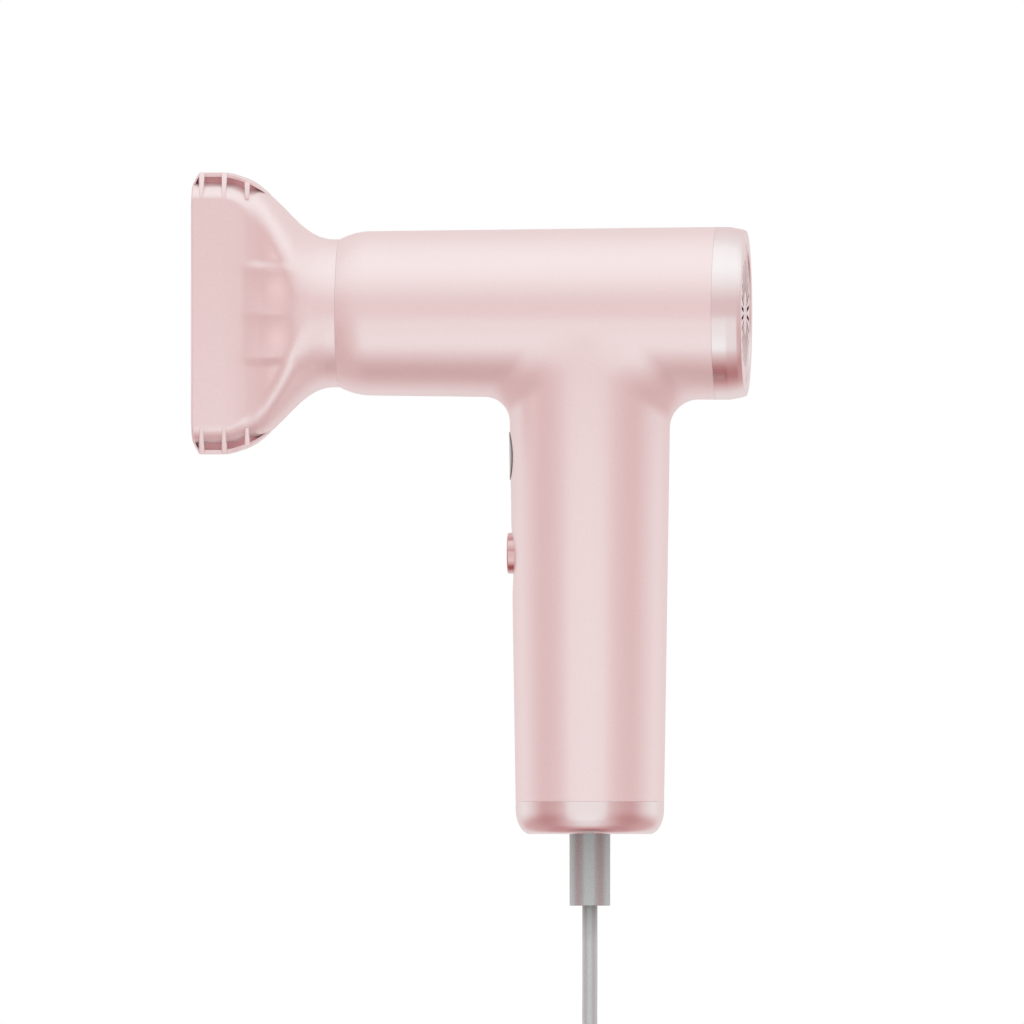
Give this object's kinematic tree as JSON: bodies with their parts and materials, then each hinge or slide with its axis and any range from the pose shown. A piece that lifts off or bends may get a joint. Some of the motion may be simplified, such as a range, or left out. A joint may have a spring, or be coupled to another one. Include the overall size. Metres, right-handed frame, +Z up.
{
  "type": "travel hair dryer",
  "caption": "Compact hair dryer with a round barrel, straight round handle, wide flat magnetic nozzle, rear filter cover, front buttons and a mains cord with a plug.",
  "frame": {"origin": "on the handle's axis at the middle of the grip", "axes": "+Z up along the handle to the barrel, -X the way the air blows out of the nozzle, +X the rear air inlet, +Y completes the right-handed frame"},
  "size_m": [0.168, 0.0524, 0.4037],
  "materials": {
    "shell": "satin pearl pink",
    "metallic": "polished rose metallic",
    "lens": "polished grey",
    "dark_plastic": "matt",
    "rubber": "matt",
    "steel": "brushed",
    "magnet": "sintered, plated",
    "aluminium": "satin",
    "brass": "drawn",
    "copper": "enamelled wire",
    "mica": "flecked mica sheet",
    "board": "solder mask",
    "capacitor": "printed sleeve without text",
    "cord": "satin grey vinyl",
    "leads": "satin vinyl"
  },
  "bodies": {
    "dryer": {"housing": "shell", "outlet_ring": "dark_plastic", "front_steel_ring": "steel", "outlet_grille": "dark_plastic", "ion_needle": "steel", "inlet_steel_ring": "steel", "inlet_bell": "dark_plastic", "motor_frame": "dark_plastic", "motor_stator": "steel", "motor_windings": "copper", "motor_bearings": "steel", "motor_mounts": "rubber", "heater_tube": "mica", "heater_frame": "mica", "heater_wire": "brass", "thermostat": "steel", "thermal_fuse": "brass", "power_switch": "dark_plastic", "mode_switch": "dark_plastic", "main_board": "board", "triac": "dark_plastic", "heatsink": "aluminium", "capacitors": "capacitor", "choke": "copper", "ion_module": "dark_plastic", "handle_chassis": "dark_plastic", "board_screws": "steel", "bottom_cap": "metallic", "cap_screws": "steel", "cord_clamp": "dark_plastic", "clamp_screws": "steel", "strain_relief": "cord", "power_leads": "leads", "motor_leads": "leads", "cord_lead": "cord", "cord_coil": "cord", "cord_tie": "dark_plastic", "cord_tail": "cord", "plug_body": "cord", "plug_pins": "steel"},
    "nozzle_collar": {"nozzle_collar": "dark_plastic", "nozzle_magnets": "steel"},
    "nozzle": {"nozzle_neck": "shell", "nozzle_shell": "shell", "nozzle_duct": "shell", "nozzle_grip_bands": "shell"},
    "rear_cover": {"rear_cover": "metallic", "rear_grille": "metallic", "dust_filter": "dark_plastic", "cover_magnets": "steel"},
    "rotor": {"motor_shaft": "steel", "rotor_magnet": "magnet", "impeller": "aluminium", "impeller_nut": "brass"},
    "power_button": {"power_button": "metallic"},
    "mode_button": {"mode_button": "lens"}
  },
  "joints": [
    {"name": "nozzle_pull_off", "type": "slide", "parent": "dryer", "child": "nozzle_collar", "axis": [-1, 0, 0], "range_m": [0, 0.03]},
    {"name": "nozzle_turn", "type": "hinge", "parent": "nozzle_collar", "child": "nozzle", "pos_m": [-0.0785, 0, 0.099], "axis": [-1, 0, 0], "continuous": true},
    {"name": "rear_cover_pull_off", "type": "slide", "parent": "dryer", "child": "rear_cover", "axis": [1, 0, 0], "range_m": [0, 0.025]},
    {"name": "power_button_press", "type": "slide", "parent": "dryer", "child": "power_button", "axis": [1, 0, 0], "range_m": [0, 0.0008], "stiffness_N_per_m": 800},
    {"name": "mode_button_press", "type": "slide", "parent": "dryer", "child": "mode_button", "axis": [1, 0, 0], "range_m": [0, 0.0005], "stiffness_N_per_m": 800},
    {"name": "fan_spin", "type": "hinge", "parent": "dryer", "child": "rotor", "pos_m": [0, 0, 0.099], "axis": [1, 0, 0], "continuous": true}
  ]
}
